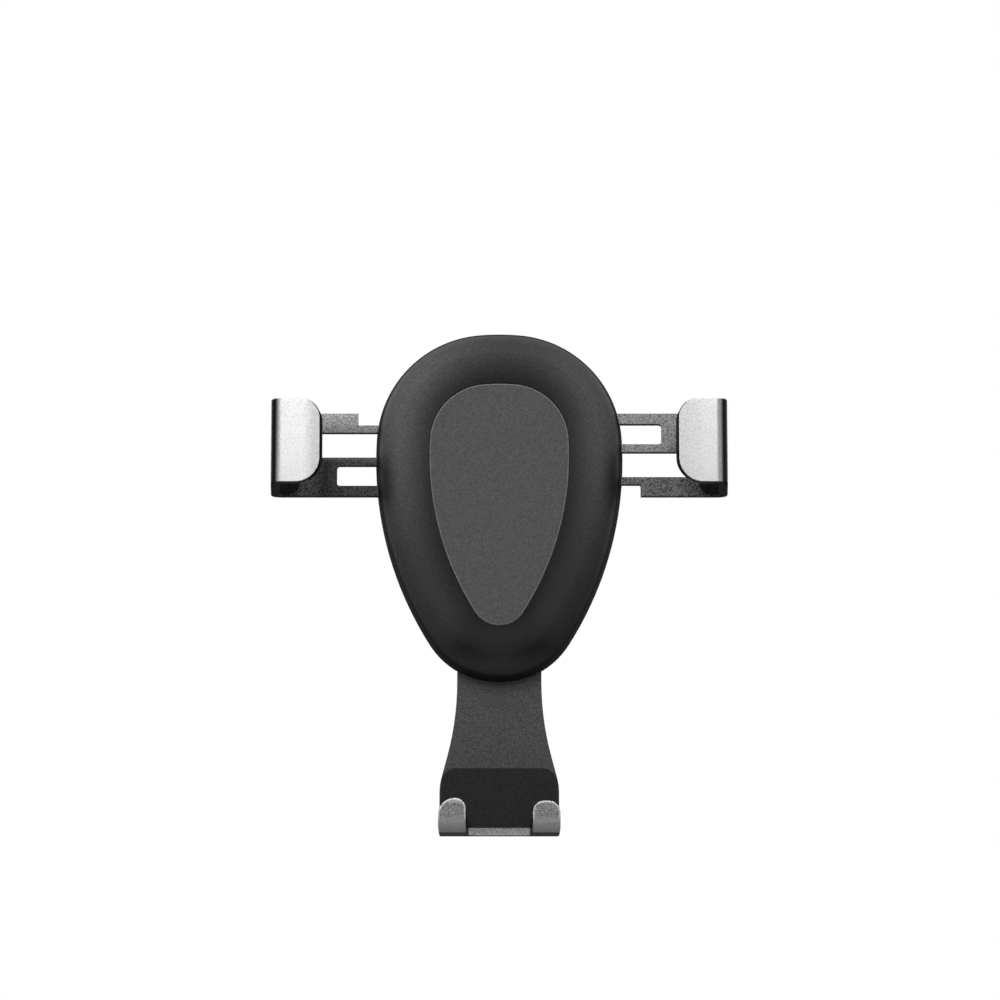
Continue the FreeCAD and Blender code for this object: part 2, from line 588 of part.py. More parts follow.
def arm(label, s):
    # one bent sheet: slatted back plate, wall and lip. The left arm is the right one turned
    # half a turn about its own middle, except that both lips have their larger round below.
    item = new_body(label)
    nodes.append(item)
    sign = "-" if s < 0 else ""
    x = lambda text: f"{sign}({text})"
    z = lambda text: f"arm_centre + {sign}({text})" if sign else f"arm_centre + ({text})"
    slat_tip = "-6"
    section = [
        (x(slat_tip), back("arm_depth + sheet_metal")),
        (x(wall_face("arm_depth + sheet_metal")), back("arm_depth + sheet_metal"), "bend_outer"),
        (x("arm_reach"), back("-lip_front"), "bend_outer"),
        (x("arm_reach - lip_width"), back("-lip_front")),
        (x("arm_reach - lip_width"), back("sheet_metal - lip_front")),
        (x(wall_face("sheet_metal - lip_front") + " - sheet_metal"), back("sheet_metal - lip_front"),
         "bend_outer - sheet_metal"),
        (x(wall_face("arm_depth") + " - sheet_metal"), back("arm_depth"), "bend_outer - sheet_metal"),
        (x(slat_tip), back("arm_depth")),
    ]
    level_piece(item, label + "_sheet", lambda sk: outline(sk, section),
                "arm_centre - arm_height / 2", "arm_height")
    over = "arm_height / 2 + 1"
    comb = [
        (x("-12"), z(over)),
        (x("3"), z(over)),
        (x("3"), z("slat_outer_in")),
        (x("window_end"), z("slat_outer_in"), "window_round"),
        (x("window_end"), z("slat_mid_out"), "window_round"),
        (x(slat_tip), z("slat_mid_out")),
        (x(slat_tip), z("slat_mid_in")),
        (x("window_end_far"), z("slat_mid_in"), "window_round"),
        (x("window_end_far"), z("-slat_far_in"), "window_round"),
        (x("-1.5"), z("-slat_far_in")),
        (x("-1.5"), z("-slat_far_out")),
        (x("step_end"), z("-slat_far_out"), "0.3"),
        (x("step_end"), z(f"-({over})")),
        (x("-12"), z(f"-({over})")),
    ]
    slab(item, label + "_comb", lambda sk: outline(sk, comb), "arm_depth - 1", "sheet_metal + 2", cut=True)
    eye = (x("pin_reach"), z("pin_offset"))
    slab(item, label + "_eye", lambda sk: circle(sk, *eye, "boss_radius"), "arm_depth", "sheet_metal")
    slab(item, label + "_eye_hole", lambda sk: circle(sk, *eye, "pin_radius"),
         "arm_depth - 1", "sheet_metal + 2", cut=True)
    edge_x = num(x("arm_reach - lip_width"))
    soften(item, label + "_lip_top", corner_edge(edge_x, num("arm_centre + arm_height / 2")), "lip_round_top")
    soften(item, label + "_lip_low", corner_edge(edge_x, num("arm_centre - arm_height / 2")), "lip_round_bottom")
    soften(item, label + "_lip_bevel", whole_at("Y", num(back("-lip_front"))), "0.2", chamfer=True)
    return item


def liner(label, s):
    # the arm's rubber: behind the lip, along the wall and a block on the back plate
    item = new_body(label)
    nodes.append(item)
    sign = "-" if s < 0 else ""
    x = lambda text: f"{sign}({text})"
    inside = lambda depth: wall_face(depth) + " - sheet_metal"
    free = "arm_reach - lip_width - liner_show"
    behind_lip = "sheet_metal - lip_front + liner"
    block = inside("arm_depth") + " - liner_block_width"
    section = [
        (x(inside("arm_depth")), back("arm_depth"), "bend_outer - sheet_metal + 0.1"),
        (x(inside("sheet_metal - lip_front")), back("sheet_metal - lip_front"), "bend_outer - sheet_metal + 0.1"),
        (x(free), back("sheet_metal - lip_front")),
        (x(free), back(behind_lip)),
        (x(inside(behind_lip) + " - liner"), back(behind_lip), "0.8"),
        (x(inside("arm_depth - liner_block") + " - liner"), back("arm_depth - liner_block"), "0.8"),
        (x(block), back("arm_depth - liner_block")),
        (x(block), back("arm_depth")),
    ]
    level_piece(item, label + "_strip", lambda sk: outline(sk, section),
                "arm_centre - arm_height / 2 + 0.4", "arm_height - 0.8")
    low = num("arm_centre - arm_height / 2 + 0.4")
    high = num("arm_centre + arm_height / 2 - 0.4")
    soften(item, label + "_lip_top", corner_edge(num(x(free)), high), "lip_round_top")
    soften(item, label + "_lip_low", corner_edge(num(x(free)), low), "lip_round_bottom")
    block_x = num(x(block))
    soften(item, label + "_block_top", corner_edge(block_x, high), "2.5")
    soften(item, label + "_block_low", corner_edge(block_x, low), "3")
    return item


def cam_pin(label, s):
    # the rivet in the slat's eye that follows the foot's slot
    item = new_body(label)
    nodes.append(item)
    sign = "-" if s < 0 else ""
    place = (f"{sign}pin_reach", f"arm_centre + ({sign}pin_offset)")
    rear = "stem_depth + sheet_metal + fit_gap"
    slab(item, label + "_shank", lambda sk: circle(sk, *place, "pin_radius"), "arm_depth", f"{rear} - arm_depth")
    slab(item, label + "_head", lambda sk: circle(sk, *place, "pin_head_radius"), rear, "0.8")
    return item


for side, s in (("left", -1), ("right", 1)):
    arm(f"{side}_arm", s)
    liner(f"{side}_arm_pad", s)
    cam_pin(f"{side}_cam_pin", s)

# Foot: one bent sheet. Its head has the two sloping slots that draw the arms in, its stem a
# window for the return spring, its lower end a tray with two hooks and a cable notch.
foot = new_body("foot_plate")
nodes.append(foot)
STEM_REAR = "stem_depth + sheet_metal"
TRAY_FLOOR = "sheet_metal - foot_bottom"
foot_section = [
    (back(STEM_REAR), "head_top"),
    (back("stem_depth"), "head_top"),
    (back("stem_depth"), TRAY_FLOOR, "foot_bend - sheet_metal"),
    (back("sheet_metal - lip_front"), TRAY_FLOOR, "foot_bend - sheet_metal"),
    (back("sheet_metal - lip_front"), "-hook_top"),
    (back("-lip_front"), "-hook_top"),
    (back("-lip_front"), "-foot_bottom", "foot_bend"),
    (back(STEM_REAR), "-foot_bottom", "foot_bend"),
]
side_piece(foot, "foot_sheet", lambda sk: outline(sk, foot_section), "2 * head_half + 4")
half = [
    ("2.9", "head_top", "1.5"),
    ("head_half", "head_top - head_half + 2.9", "2"),
    ("head_half", "6.5", "2"),
    ("14", "3", "3"),
    ("stem_half", "-11", "6"),
    ("stem_half", "-flare_top", "60"),
    ("tray_half", "-flare_bottom", "12"),
    ("tray_half", "-foot_bottom - 1"),
]
foot_edge = half + [(f"-({c[0]})",) + c[1:] for c in reversed(half)]


def around_foot(sk):
    rectangle(sk, "-head_half - 4", "head_half + 4", "-foot_bottom - 3", "head_top + 3")
    outline(sk, foot_edge)


slab(foot, "foot_outline", around_foot, "-lip_front - 1", f"{STEM_REAR} + lip_front + 2", cut=True)
for side, sign in (("left", "-"), ("right", "")):
    start = (f"{sign}(pin_reach + 0.2)", f"arm_centre + ({sign}pin_offset) - 0.2")
    end = (f"{sign}(pin_reach - travel - 0.2)", f"arm_centre + ({sign}pin_offset) + travel + 0.2")
    slab(foot, f"cam_slot_{side}", lambda sk: slot(sk, start, end, "pin_radius + pin_gap"),
         "stem_depth - 1", "sheet_metal + 2", cut=True)
slab(foot, "spring_window", lambda sk: rectangle(
    sk, "-window_half", "window_half", "spring_top - spring_length - 2", "spring_top", "0.2"),
    "stem_depth - 1", "sheet_metal + 2", cut=True)
NOTCH_CORNERS = [
    ("notch_half", back("-lip_front - 2")),
    ("notch_half", back("notch_depth"), "1.5"),
    ("-notch_half", back("notch_depth"), "1.5"),
    ("-notch_half", back("-lip_front - 2")),
]
level_piece(foot, "cable_notch", lambda sk: outline(sk, NOTCH_CORNERS), "-foot_bottom - 1",
            "foot_bottom - hook_top + 3", cut=True)
slab(foot, "hook_trim", lambda sk: rectangle(
    sk, "notch_half - 0.5", "tray_half + 1", "-hook_top - hook_drop", "-hook_top + 1"),
    "-lip_front - 1", "sheet_metal + 2", cut=True)
doc.recompute()
LEFT_TOP = num("-hook_top")
RIGHT_TOP = num("-hook_top - hook_drop")
soften(foot, "hook_left_out", corner_edge(num("-tray_half"), LEFT_TOP), "3.4")
soften(foot, "hook_left_in", corner_edge(num("-notch_half"), LEFT_TOP), "2.1")
soften(foot, "hook_right_in", corner_edge(num("notch_half"), RIGHT_TOP), "2.2")
soften(foot, "hook_right_out", corner_edge(num("tray_half"), RIGHT_TOP), "2.4")
soften(foot, "hook_bevel", whole_at("Y", num(back("-lip_front"))), "0.25", chamfer=True)

# Foot rubber: a thick block against the phone's back, soles in the tray and faces in the hooks.
foot_pad = new_body("foot_pad")
nodes.append(foot_pad)
pad_section = [
    (back("stem_depth"), "-foot_pad_top"),
    (back("foot_pad_front"), "-foot_pad_top"),
    (back("foot_pad_front"), TRAY_FLOOR + " + liner", "1"),
    (back("sheet_metal - lip_front + liner"), TRAY_FLOOR + " + liner", "0.5"),
    (back("sheet_metal - lip_front + liner"), "-hook_top + liner_show"),
    (back("sheet_metal - lip_front"), "-hook_top + liner_show"),
    (back("sheet_metal - lip_front"), TRAY_FLOOR, "foot_bend - sheet_metal + 0.1"),
    (back("stem_depth"), TRAY_FLOOR, "foot_bend - sheet_metal + 0.1"),
]
side_piece(foot_pad, "pad_block", lambda sk: outline(sk, pad_section), "2 * tray_half")
level_piece(foot_pad, "pad_notch", lambda sk: rectangle(
    sk, "liner_show - notch_half", "notch_half - liner_show", back("-lip_front"), back("foot_pad_front")),
    TRAY_FLOOR + " - 1", "foot_bottom - hook_top + 3", cut=True)


def around_pad(sk):
    rectangle(sk, "-tray_half - 2", "tray_half + 2", "-foot_bottom - 2", "-foot_pad_top + 2")
    outline(sk, [
        ("foot_pad_half", "-foot_pad_top", "foot_pad_round"),
        ("foot_pad_half", "-foot_bottom - 1"),
        ("-foot_pad_half", "-foot_bottom - 1"),
        ("-foot_pad_half", "-foot_pad_top", "foot_pad_round"),
    ])


slab(foot_pad, "pad_outline", around_pad, "foot_pad_front - 1.5", "stem_depth - foot_pad_front + 3", cut=True)
slab(foot_pad, "pad_trim", lambda sk: rectangle(
    sk, "2", "tray_half + 1", "-hook_top - hook_drop + liner_show", "-hook_top + 2"),
    "-lip_front", "sheet_metal + liner + 1", cut=True)
doc.recompute()
HIGH, LOW = num("-hook_top + liner_show"), num("-hook_top - hook_drop + liner_show")
soften(foot_pad, "pad_left_out", corner_edge(num("-tray_half"), HIGH), "3.4")
soften(foot_pad, "pad_left_in", corner_edge(num("liner_show - notch_half"), HIGH), "2.1")
soften(foot_pad, "pad_right_in", corner_edge(num("notch_half - liner_show"), LOW), "2.2")
soften(foot_pad, "pad_right_out", corner_edge(num("tray_half"), LOW), "2.4")

# Return spring: stands on the cover's post inside the stem's window and lifts the foot.
spring = new_body("return_spring")
nodes.append(spring)
wire = new_sketch(spring, "wire_section", "XZ_Plane", "crest_depth - (stem_depth + sheet_metal / 2)")
circle(wire, "spring_radius - spring_wire", "spring_top - spring_length + spring_wire", "spring_wire")
coil = spring.newObject("PartDesign::AdditiveHelix", "spring_coil")
coil.Profile = wire
coil.ReferenceAxis = (wire, ["V_Axis"])
coil.Mode = "height-turns-angle"
bind(coil, "Height", "spring_length - 2 * spring_wire")
coil.Turns = 8

# Ball joint: a dish in the cup, a split ring round the ball's waist and a nut that holds both.
seat = new_body("ball_seat")
nodes.append(seat)
ball_shape(seat, "seat_outside", "joint_outer", back("ball_depth"))
ball_shape(seat, "seat_inside", "ball_radius + ball_gap", back("ball_depth"), cut=True)
slab(seat, "seat_edge", lambda sk: circle(sk, "0", "0", "2 * joint_outer"),
     "ball_depth - 7.4", "3 * joint_outer", cut=True)

ring = new_body("collet_ring")
nodes.append(ring)
ball_shape(ring, "ring_outside", "joint_outer", back("ball_depth"))
ball_shape(ring, "ring_inside", "ball_radius + ball_gap", back("ball_depth"), cut=True)
slab(ring, "ring_front", lambda sk: circle(sk, "0", "0", "2 * joint_outer"),
     "ball_depth - 3 - 2 * joint_outer", "2 * joint_outer", cut=True)
slab(ring, "ring_rear", lambda sk: circle(sk, "0", "0", "2 * joint_outer"),
     "ball_depth + 3.5", "2 * joint_outer", cut=True)
slab(ring, "ring_split", lambda sk: rectangle(sk, "-0.5", "0.5", "ball_radius / 2", "2 * joint_outer"),
     "ball_depth - 5", "10", cut=True)

nut = new_body("ring_nut")
nodes.append(nut)
NUT_FRONT = COVER_REAR + " + 2"
slab(nut, "nut_blank", lambda sk: circle(sk, "0", "0", "nut_radius"),
     NUT_FRONT, f"ball_depth + nut_rear - ({NUT_FRONT})")
slab(nut, "nut_bore", lambda sk: circle(sk, "0", "0", "tube_radius + 0.1"),
     NUT_FRONT + " - 1", f"ball_depth + 0.8 - ({NUT_FRONT} - 1)", cut=True)
ball_shape(nut, "nut_hollow", "cup_radius", back("ball_depth"), cut=True)
grip_sketch = new_sketch(nut, "nut_grip_sketch", "XZ_Plane", f"crest_depth - ({NUT_FRONT} - 1)")
circle(grip_sketch, "0", "nut_radius + 1.1", "1.8")
grip = extrude(nut, grip_sketch, "nut_grip", f"ball_depth + nut_rear - ({NUT_FRONT}) + 2", cut=True)
grips = nut.newObject("PartDesign::PolarPattern", "nut_grips")
grips.Originals = [grip]
grips.Axis = (grip_sketch, ["N_Axis"])
grips.Angle = 360
grips.Occurrences = 14
nut.Tip = grips

# Clip base: ball, neck, block, fixed jaw, fixed press tail and the two ears of the hinge.
clip = new_body("clip_base")
nodes.append(clip)
clip_depth = lambda text: f"crest_depth + ({text})"
ball_shape(clip, "ball", "ball_radius", back("ball_depth"))
slab(clip, "neck", lambda sk: circle(sk, "0", "0", "neck_radius"),
     "ball_depth + ball_radius / 2", "crest_depth - clip_front + 0.5 - ball_depth - ball_radius / 2")
slab(clip, "neck_foot", lambda sk: circle(sk, "0", "0", "neck_radius + 1"),
     clip_depth("-clip_front - 0.8"), "1.5")
slab(clip, "clip_block_pad", lambda sk: rectangle(sk, "-clip_half", "clip_half", "-6", "6.5", "1.5"),
     clip_depth("-clip_front"), "clip_block")
slab(clip, "fixed_tail", lambda sk: rectangle(sk, "-clip_half + 0.8", "clip_half - 0.8", "-tail_drop", "0", "2.5"),
     clip_depth("-clip_front"), "1.8")
JAW_FACE = "jaw_gap / 2 + jaw_pad"
BLOCK_REAR = "clip_block - clip_front"
side_piece(clip, "fixed_jaw", lambda sk: outline(sk, [
    (BLOCK_REAR + " - 0.5", JAW_FACE),
    ("jaw_reach", JAW_FACE),
    ("jaw_reach", JAW_FACE + " + 1", "0.5"),
    (BLOCK_REAR + " + 3", "4.6", "3"),
    (BLOCK_REAR, "6"),
    (BLOCK_REAR + " - 0.5", "6"),
]), "2 * clip_half - 0.4")
for side, sign in (("left", "-"), ("right", "")):
    near = "lever_half + fit_gap" if not sign else "-clip_half"
    ear = new_sketch(clip, f"ear_{side}_sketch", "YZ_Plane", near)
    outline(ear, [
        (BLOCK_REAR + " - 0.5", "-5.8"),
        ("-hinge_back + 2.3", "-5.8", "2.2"),
        ("-hinge_back + 2.3", JAW_FACE + " + 0.5"),
        (BLOCK_REAR + " - 0.5", JAW_FACE + " + 0.5"),
    ])
    extrude(clip, ear, f"ear_{side}", "clip_half - lever_half - fit_gap")
side_piece(clip, "pin_hole", lambda sk: circle(sk, "-hinge_back", "-hinge_drop", "hinge_radius"),
           "3 * clip_half", cut=True)

# Lever: the moving jaw and its press tail, with room for the spring between its knuckles.
lever = new_body("clip_lever")
nodes.append(lever)
side_piece(lever, "lever_shape", lambda sk: outline(sk, [
    ("-hinge_back", f"-({JAW_FACE})"),
    ("-hinge_back + 0.2", "-tail_drop + 6"),
    ("-hinge_back + 1.2", "-tail_drop", "0.6"),
    ("-hinge_back + 3.0", "-tail_drop", "0.8"),
    ("-hinge_back + 2.6", "-hinge_drop - 2.4", "1"),
    ("jaw_reach", f"-({JAW_FACE}) - 1", "0.5"),
    ("jaw_reach", f"-({JAW_FACE})"),
]), "2 * lever_half")
side_piece(lever, "lever_hub", lambda sk: circle(sk, "-hinge_back", "-hinge_drop", "2.05"), "2 * lever_half")
side_piece(lever, "lever_bore", lambda sk: circle(sk, "-hinge_back", "-hinge_drop", "hinge_radius + hinge_gap"),
           "3 * lever_half", cut=True)
side_piece(lever, "spring_room", lambda sk: rectangle(
    sk, "-hinge_back - 3", "-hinge_back + 2.2", "-hinge_drop - 2.2", "-hinge_drop + 3"), "4", cut=True)

hinge = new_body("clip_hinge_pin")
nodes.append(hinge)
side_piece(hinge, "hinge_rod", lambda sk: circle(sk, "-hinge_back", "-hinge_drop", "hinge_radius"),
           "2 * clip_half")

# Torsion spring: a coil round the hinge pin, one leg up the block, one leg down the lever.
torsion = new_body("clip_spring")
nodes.append(torsion)
COIL_R = "hinge_radius + 0.3 + spring_wire"
turn_section = new_sketch(torsion, "turn_section", "XZ_Plane", "hinge_back")
circle(turn_section, "spring_wire - 1.6", f"-hinge_drop + {COIL_R}", "spring_wire")
turn_axis = new_sketch(torsion, "turn_axis", "XZ_Plane", "hinge_back")
axis_line = turn_axis.addGeometry(Part.LineSegment(Vector(-5, num("-hinge_drop"), 0), Vector(5, num("-hinge_drop"), 0)))
fix_point(turn_axis, axis_line, 1, "-clip_half", "-hinge_drop")
fix_point(turn_axis, axis_line, 2, "clip_half", "-hinge_drop")
turns = torsion.newObject("PartDesign::AdditiveHelix", "torsion_coil")
turns.Profile = turn_section
turns.ReferenceAxis = (turn_axis, ["Edge1"])
turns.Mode = "height-turns-angle"
turns.Turns = 4
bind(turns, "Height", "3.2 - 2 * spring_wire")
level_piece(torsion, "block_leg", lambda sk: circle(
    sk, "spring_wire - 1.6", f"-hinge_back - ({COIL_R})", "spring_wire"), "-hinge_drop - 0.4", "4.5")
level_piece(torsion, "lever_leg", lambda sk: circle(
    sk, "1.6 - spring_wire", f"-hinge_back - ({COIL_R}) + 1.1", "spring_wire"), "-hinge_drop - 6", "4.7")

# Jaw rubbers, each with cross ribs for the louvre.
for label, low in (("upper_jaw_pad", "jaw_gap / 2"), ("lower_jaw_pad", "-jaw_gap / 2 - jaw_pad")):
    rubber = new_body(label)
    nodes.append(rubber)
    level_piece(rubber, label + "_strip", lambda sk: rectangle(
        sk, "0.4 - lever_half", "lever_half - 0.4", "-jaw_reach + 4.5", "jaw_reach - 0.4", "0.6"), low, "jaw_pad")
    groove_at = "jaw_gap / 2 - 0.5" if low.startswith("jaw") else "-jaw_gap / 2 - 0.4"
    first = new_sketch(rubber, label + "_groove_sketch", "XY_Plane", groove_at)
    rectangle(first, "-lever_half - 1", "lever_half + 1", "-jaw_reach + 6", "-jaw_reach + 6.7")
    groove = extrude(rubber, first, label + "_groove", "0.9", cut=True)
    row = rubber.newObject("PartDesign::LinearPattern", label + "_grooves")
    row.Originals = [groove]
    row.Direction = (first, ["V_Axis"])
    bind(row, "Length", "2 * jaw_reach - 7.6")
    row.Occurrences = 7
    rubber.Tip = row

doc.recompute()
failed = []
for item in doc.Objects:
    if "Invalid" in item.State or "Error" in item.State:
        failed.append(f"{item.Name}: {item.State}")
for item in nodes:
    shape = item.Shape
    if shape.isNull() or not shape.isValid() or not shape.Solids:
        failed.append(f"{item.Label}: no valid shape")
if failed:
    raise RuntimeError("; ".join(failed))
for item in nodes:
    item.Shape.exportStep(f"parts/{item.Label}.step")
    box = item.Shape.BoundBox
    print(f"{item.Label}: {len(item.Shape.Solids)} solid, {item.Shape.Volume:.1f} mm3, "
          f"X {box.XMin:.2f} {box.XMax:.2f}, Y {box.YMin:.2f} {box.YMax:.2f}, Z {box.ZMin:.2f} {box.ZMax:.2f}")
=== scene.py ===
import json
import math

import bpy
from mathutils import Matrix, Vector


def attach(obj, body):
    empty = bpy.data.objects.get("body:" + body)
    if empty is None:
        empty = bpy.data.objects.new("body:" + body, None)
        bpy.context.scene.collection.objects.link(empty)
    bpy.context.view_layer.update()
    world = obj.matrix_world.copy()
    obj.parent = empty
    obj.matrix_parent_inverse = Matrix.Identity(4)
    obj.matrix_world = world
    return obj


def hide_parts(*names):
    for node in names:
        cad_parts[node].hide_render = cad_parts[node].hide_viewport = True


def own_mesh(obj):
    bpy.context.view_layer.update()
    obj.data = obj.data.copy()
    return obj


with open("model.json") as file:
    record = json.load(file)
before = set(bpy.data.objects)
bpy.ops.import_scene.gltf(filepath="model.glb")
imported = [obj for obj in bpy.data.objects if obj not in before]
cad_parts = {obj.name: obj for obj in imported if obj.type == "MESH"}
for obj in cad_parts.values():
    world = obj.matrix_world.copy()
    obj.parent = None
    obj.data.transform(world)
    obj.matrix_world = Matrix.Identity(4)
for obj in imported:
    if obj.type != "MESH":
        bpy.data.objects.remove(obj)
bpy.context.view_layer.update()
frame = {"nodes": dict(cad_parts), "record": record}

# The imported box, kept from before anything is dressed
nodes = frame["nodes"]

# Driving values. Lengths and places are in metres in the shared frame. A tone is from 0 to 1,
# and a share multiplies it. A facing is -1 towards the low end of an axis and 1 towards the
# high end. A pair of places or facings is where a change starts and where it is complete, and
# a pair of tones or shares is its two ends. Flecks are given by their size and their share.
X, Y, Z = 0, 1, 2
BLACK = (0.0, 0.0, 0.0, 1.0)
WHITE = (1.0, 1.0, 1.0, 1.0)
CREST = Vector((0.0, -0.047, 0.0))

# Camera, floor and surroundings
CAMERA_DISTANCE = 0.84
CAMERA_BELOW_DEG = 9.56
CAMERA_LENS_MM = 145.44
CAMERA_SENSOR_MM = 36.0
CAMERA_SHIFT = 0.0007
FLOOR_RADIUS = 1.6
FLOOR_SIDES = 64
FLOOR_HEIGHT = -0.36
FLOOR_FADE_SHARES = (0.25, 1.0)
FLOOR_GLOW = 0.45
FLOOR_TONE = 0.5
FLOOR_ROUGHNESS = 0.9
AMBIENT = 0.75
MIRRORED = 1.0

# Soft boxes: name, centre, width, height and brightness against a white sheet in full light
LAMPS = (
    ("front_lamp", (-0.04, -0.42, 0.19), 0.34, 0.20, 2.4),
    ("rear_lamp_left", (-0.41, 0.31, 0.17), 0.34, 0.40, 2.6),
    ("rear_lamp_right", (0.41, 0.31, 0.17), 0.34, 0.40, 2.6),
)

# Cards seen only in reflections: name, centre, the point each faces, width, height and shade
CARDS = (
    ("card_left_front", (-0.36, -0.32, -0.16), (0.0, -0.32, -0.16), 0.10, 1.9, 0.40),
    ("card_left_middle", (-0.36, -0.22, -0.16), (0.0, -0.22, -0.16), 0.10, 1.9, 0.16),
    ("card_left", (-0.36, 0.10, -0.16), (0.0, 0.10, -0.16), 0.54, 1.9, 0.0),
    ("card_right_front", (0.36, -0.32, -0.16), (0.0, -0.32, -0.16), 0.10, 1.9, 0.40),
    ("card_right_middle", (0.36, -0.22, -0.16), (0.0, -0.22, -0.16), 0.10, 1.9, 0.16),
    ("card_right", (0.36, 0.10, -0.16), (0.0, 0.10, -0.16), 0.54, 1.9, 0.0),
    ("card_back_left", (-0.36, 0.62, -0.1), (-0.36, 0.0, -0.1), 0.54, 1.4, 0.0),
    ("card_back_right", (0.36, 0.62, -0.1), (0.36, 0.0, -0.1), 0.54, 1.4, 0.0),
    ("card_front", (0.0, -1.25, 0.05), CREST, 2.0, 1.6, 0.05),
    ("card_below", (0.0, 0.0, -0.34), (0.0, 0.0, 1.0), 8.0, 8.0, 0.03),
)

# All grains lie askew, so that their rows never line up with the object
GRAIN_TURN = (0.5, 0.7, 0.4)
GRAIN_ROUGHNESS = 0.55
GRAIN_SPAN = (0.3, 0.7)
PLAIN_DETAIL, RICH_DETAIL = 2.0, 3.0
BLAST_GRAIN = 0.0004
FINE_GRAIN = 0.0003
# Finding sharp edges for the painted highlights on the hooks' rims
EDGE_HIGHLIGHT_SPAN, EDGE_HIGHLIGHT_SAMPLES = (0.80, 1.0), 8
ROUND_SAMPLES = 6
CENTRE_BAND = (-0.01, 0.01)

# Moulded plastics: name of the finish, tone, roughness and height of the grain
COVER_PLASTIC = ("cover_finish", 0.026, 0.42, 0.00002)
SEAT_PLASTIC = ("seat_finish", 0.25, 0.4, 0.000006)
CLIP_PLASTIC = ("clip_finish", 0.022, 0.36, 0.00001)
MOULDED_GRAIN = 0.0006
MOULDED_FLECK_SHARE = 0.25
GLOSS_CLOUD = 0.012
GLOSS_CHANGE = 0.03

# The ring's plastic, with light and shade painted into its tone: paler on its rounding, most of all at
# the top and the left
RING_ROUGHNESS = 0.52
RING_SHEEN = 0.25
RING_MIDDLE = 0.0082
RING_RISE = (-0.0221, 0.0252)
RING_ROUNDING = (-0.89, 0.108)
RING_ROUNDING_TONE = 0.0854
RING_LOW_SHARE = 0.49
RING_SIDE_REACH = (0.0, 0.0216)
RING_CENTRE_SHARE = 0.43
RING_RIGHT_SHARE = 0.694
RING_TOP_TONE = 0.0166
# Painted shade on the ring's outer sides at mid-height
WAIST_RISE = (-0.008, 0.003)
WAIST_FALL = (0.005, 0.014)
WAIST_REACH = (0.0195, 0.0250)
WAIST_SHARE = 0.4
# Painted shade low down near the middle of the ring
CHIN_RISE = (-0.031, -0.022)
CHIN_REACH = (0.005, 0.013)
CHIN_SHARE = 0.25
# Painted light at the ring's lowest tip
TIP_RISE = (-0.0360, -0.0300)
TIP_TONE = 0.030
# Painted shade along the ring's contour, which is also rougher
CONTOUR_FACING = (-0.64, -0.34)
CONTOUR_TONE = 0.012
CONTOUR_ROUGHNESS = 1.0
RING_REAR_FACING = (0.0, 0.5)
RING_REAR_TONE = 0.015
RING_FLECKS = (0.00034, 0.22)
RING_GRAIN_HEIGHT = 0.000012

# The insert's blasted plate, with a painted highlight on its rim
INSERT_ROUGHNESS = 0.55
INSERT_SHEEN = 0.3
INSERT_TONE = 0.088
INSERT_RIM_FACING = (-0.95, -0.80)
INSERT_RIM_TONE = 0.26
INSERT_FLECKS = (0.00034, 0.26)
BLAST_GRAIN_HEIGHT = 0.00001

# The arms' blasted sheet, with painted light and shade in its tones. Reaches are measured sideways from
# the centre.
ARM_ROUGHNESS = 0.38
SHEET_GRAIN = 0.00032
# Painted light on the lips: paler towards their outer sides and their lower ends
LEFT_LIP_REACH, LEFT_LIP_TONES = (0.0375, 0.0410), (0.70, 1.0)
LEFT_LIP_RISE, LEFT_LIP_SHARES = (0.004, 0.018), (1.0, 0.92)
RIGHT_LIP_REACH, RIGHT_LIP_TONES = (0.0370, 0.0460), (0.76, 0.97)
RIGHT_LIP_RISE, RIGHT_LIP_SHARES = (0.004, 0.016), (1.08, 1.0)
# Painted shade on the back plates: darkest low down and towards the middle
LEFT_PLATE_REACH, LEFT_PLATE_TONES = (0.0365, 0.0425), (0.060, 0.60)
LEFT_TOP_RISE, LEFT_TOP_TONES = (0.0153, 0.0190), (0.20, 0.35)
LEFT_PLATE_RISE = (0.0085, 0.0115)
RIGHT_PLATE_REACH, RIGHT_PLATE_TONES = (0.0335, 0.0415), (0.15, 0.48)
RIGHT_PLATE_RISE, RIGHT_TOP_TONE = (0.0055, 0.0095), 0.26
LIP_DEPTH = (-0.0445, -0.0425)
# Painted shade on the side walls and, darker still, on the bends
WALL_DEPTH = (-0.0578, -0.0570)
WALL_SHARE = 0.65
BEND_FACING, BEND_SHARE = (0.15, 0.70), 0.06
PLATE_FLECK_RISE, PLATE_FLECK_SHARES = (0.0075, 0.0105), (0.75, 0.50)
LIP_FLECK_SHARE = 0.14
# Painted shade on faces that point downwards
UNDERSIDE_SHADE_FACING, UNDERSIDE_SHADE_TONE = (-0.9, -0.6), 0.015
ARM_EDGE_ROUND = 0.00015

# The foot's dark blasted sheet, with painted light on its hooks, their rims and the cable notch
FOOT_ROUGHNESS = 0.45
FOOT_METALLIC = 0.3
FOOT_TONE = 0.085
FOOT_FLECK_SHARE = 0.40
# Painted light on the hooks: paler than the stem, pale at the top and the bottom and darker between
HOOK_DEPTH = (-0.0535, -0.0490)
HOOK_LOW_RISE, HOOK_HIGH_RISE = (-0.0677, -0.0664), (-0.0645, -0.0638)
HOOK_PALE, HOOK_DARK = 0.44, 0.28
HOOK_FLECK_RISE, HOOK_FLECK_SHARES = (-0.0675, -0.0660), (0.18, 0.50)
# Painted highlights on the hooks' rims and sharp edges
HOOK_RIM_RISE = (-0.0685, -0.0665)
HOOK_RIM_WIDTH = 0.0008
HOOK_RIM_FACING = (-0.985, -0.85)
HOOK_RIM_TONE = 0.85
# Painted light on the front face of the cable notch
NOTCH_FACING = (-0.9, -0.6)
NOTCH_RISE = (-0.0677, -0.0672)
NOTCH_TONE = 1.0
FOOT_EDGE_ROUND = 0.0002

